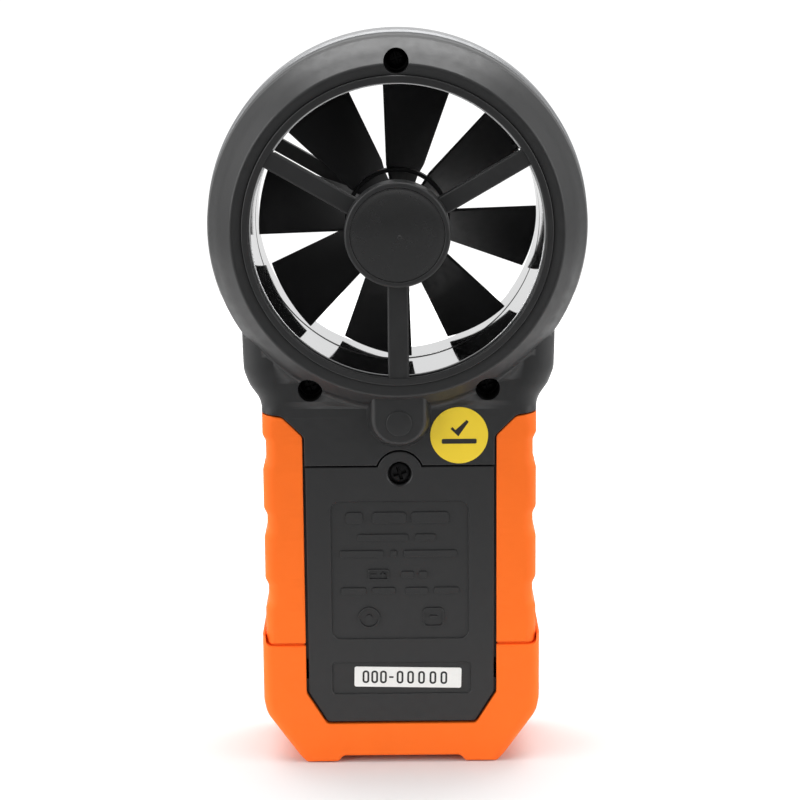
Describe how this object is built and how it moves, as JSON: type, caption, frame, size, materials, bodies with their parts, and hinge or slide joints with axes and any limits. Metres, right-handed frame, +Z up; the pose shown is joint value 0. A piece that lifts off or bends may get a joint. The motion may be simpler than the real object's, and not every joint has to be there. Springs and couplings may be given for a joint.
{
  "type": "vane anemometer",
  "caption": "Handheld air-speed meter: a ducted vane above a gripped handle with a display, keys and a battery door.",
  "frame": {"origin": "middle of the footprint, on the plane the two feet stand on", "axes": "+Z up from the feet to the head, +Y from the battery door towards the display along the duct's axis, +X to the right seen from the battery door's side"},
  "size_m": [0.085, 0.038, 0.166],
  "materials": {
    "case": "fine matt moulding grain",
    "guard": "fine matt moulding grain",
    "cap": "satin",
    "band": "silver satin",
    "liner": "polished",
    "vane": "satin",
    "steel": "ground",
    "black_steel": "black oxide",
    "brass": "turned",
    "magnet": "nickel plated",
    "grip": "soft matt overmould",
    "door": "fine matt moulding grain",
    "battery": "printed sleeve",
    "snap": "soft matt",
    "board": "solder resist",
    "display": "glass and reflector sandwich",
    "window": "clear polished",
    "key": "soft matt",
    "key_power": "soft matt",
    "lead": "smooth sheath",
    "yellow": "printed film",
    "white": "printed film"
  },
  "bodies": {
    "case": {"rear_housing": "case", "front_housing": "case", "head_band": "band", "liner_rear": "liner", "liner_front": "liner", "rear_guard": "guard", "rear_hub_cap": "cap", "pickup_board": "board", "pickup_lead": "lead", "rear_bearing": "brass", "front_bearing": "brass", "front_guard": "guard", "left_grip": "grip", "right_grip": "grip", "bottom_boot": "grip", "head_screw_top": "black_steel", "head_screw_left": "black_steel", "head_screw_right": "black_steel", "case_screw_left": "black_steel", "case_screw_right": "black_steel", "battery_9v": "battery", "battery_snap": "snap", "main_board": "board", "display_module": "display", "display_window": "window", "inspection_sticker": "yellow"},
    "vane": {"vane": "vane", "shaft": "steel", "pickup_magnet": "magnet"},
    "door": {"battery_door": "door", "serial_label": "white"},
    "door_screw": {"door_screw": "black_steel"},
    "key_hold": {"key_hold": "key"},
    "key_max_min": {"key_max_min": "key"},
    "key_unit": {"key_unit": "key"},
    "key_light": {"key_light": "key"},
    "key_power": {"key_power": "key_power"}
  },
  "joints": [
    {"name": "vane_spin", "type": "hinge", "parent": "case", "child": "vane", "pos_m": [0, 0, 0.1235], "axis": [0, 1, 0], "continuous": true},
    {"name": "door_hinge", "type": "hinge", "parent": "case", "child": "door", "pos_m": [0, -0.0104, 0.0104], "axis": [1, 0, 0], "range_deg": [0, 75]},
    {"name": "door_screw_turn", "type": "hinge", "parent": "door", "child": "door_screw", "pos_m": [0, -0.01, 0.06835], "axis": [0, -1, 0], "range_deg": [0, 1080]},
    {"name": "key_hold_press", "type": "slide", "parent": "case", "child": "key_hold", "axis": [0, -1, 0], "range_m": [0, 0.0008], "stiffness_N_per_m": 250},
    {"name": "key_max_min_press", "type": "slide", "parent": "case", "child": "key_max_min", "axis": [0, -1, 0], "range_m": [0, 0.0008], "stiffness_N_per_m": 250},
    {"name": "key_unit_press", "type": "slide", "parent": "case", "child": "key_unit", "axis": [0, -1, 0], "range_m": [0, 0.0008], "stiffness_N_per_m": 250},
    {"name": "key_light_press", "type": "slide", "parent": "case", "child": "key_light", "axis": [0, -1, 0], "range_m": [0, 0.0008], "stiffness_N_per_m": 250},
    {"name": "key_power_press", "type": "slide", "parent": "case", "child": "key_power", "axis": [0, -1, 0], "range_m": [0, 0.0008], "stiffness_N_per_m": 250}
  ]
}
